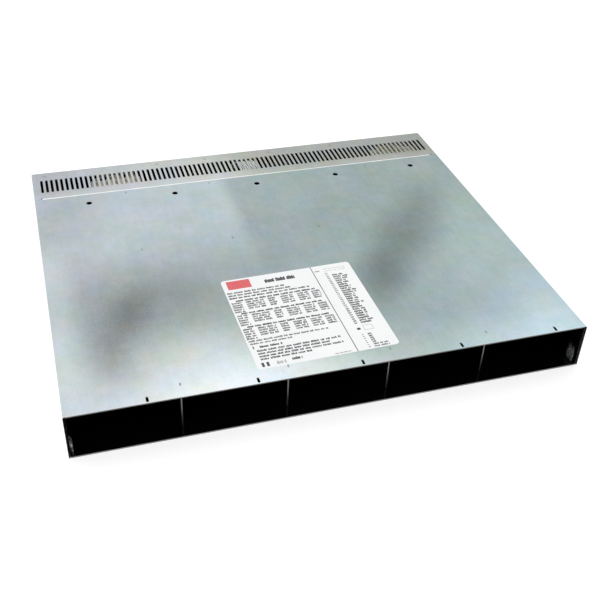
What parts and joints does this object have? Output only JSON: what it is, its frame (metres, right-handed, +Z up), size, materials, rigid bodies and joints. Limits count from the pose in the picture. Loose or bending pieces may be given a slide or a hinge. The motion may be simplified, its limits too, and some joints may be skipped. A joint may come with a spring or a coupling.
{
  "type": "rack power shelf",
  "caption": "Flat zinc-plated steel shelf, one rack unit high, with module bays open at the front, a vented strip at the rear and inlets and output bars behind.",
  "frame": {"origin": "centre of the underside of the whole part, output bars included", "axes": "+X across to the right, +Y from the open front to the rear panel, +Z up"},
  "size_m": [0.4452, 0.402, 0.0437],
  "materials": {
    "zinc_sheet": "spangle-free zinc-plated sheet, softly mottled",
    "zinc_vented": "zinc-plated sheet, slightly grainy",
    "zinc_inner": "zinc-plated sheet",
    "black_film": "thin black insulating film",
    "black_moulding": "moulded black plastic",
    "board": "black-green circuit board",
    "tinned_copper": "tin-plated copper bar",
    "tinned_brass": "tin-plated contact metal",
    "screw_steel": "zinc-plated steel",
    "cream_moulding": "cream nylon",
    "cream_wire": "cream insulation",
    "earth_wire": "green and yellow insulation",
    "white_wire": "white insulation",
    "black_wire": "black insulation",
    "label_film": "satin white label film"
  },
  "bodies": {
    "root": {"base_tray": "zinc_sheet", "top_cover": "zinc_sheet", "rear_cover": "zinc_vented", "rear_panel": "zinc_sheet", "divider_1": "zinc_inner", "divider_2": "zinc_inner", "divider_3": "zinc_inner", "divider_4": "zinc_inner", "bay_film_1": "black_film", "bay_film_2": "black_film", "bay_film_3": "black_film", "bay_film_4": "black_film", "bay_film_5": "black_film", "entry_guide_left": "zinc_sheet", "entry_guide_right": "zinc_sheet", "backplane": "board", "backplane_angle": "zinc_inner", "backplane_screws": "screw_steel", "bay_connector_1": "black_moulding", "bay_connector_2": "black_moulding", "bay_connector_3": "black_moulding", "bay_connector_4": "black_moulding", "bay_connector_5": "black_moulding", "bay_guide_pins": "tinned_brass", "bus_bar_positive": "tinned_copper", "bus_bar_negative": "tinned_copper", "bar_sleeve_positive": "black_moulding", "bar_sleeve_negative": "black_moulding", "ac_inlet_1": "black_moulding", "ac_inlet_2": "black_moulding", "ac_inlet_3": "black_moulding", "ac_inlet_4": "black_moulding", "ac_inlet_5": "black_moulding", "inlet_blades": "tinned_brass", "signal_shells": "tinned_brass", "signal_inserts": "black_moulding", "signal_jackscrews": "tinned_brass", "earth_stud": "tinned_brass", "earth_nut": "tinned_brass", "rear_film": "black_film", "terminal_bracket_left": "zinc_inner", "terminal_block_left": "cream_moulding", "terminal_screws_left": "tinned_brass", "terminal_bracket_right": "zinc_inner", "terminal_block_right": "cream_moulding", "terminal_screws_right": "tinned_brass", "feed_wires_left": "cream_wire", "feed_wires_right": "cream_wire", "earth_wires": "earth_wire", "signal_wires": "white_wire", "inlet_leads": "black_wire", "side_screws": "screw_steel", "label": "label_film"}
  },
  "joints": []
}
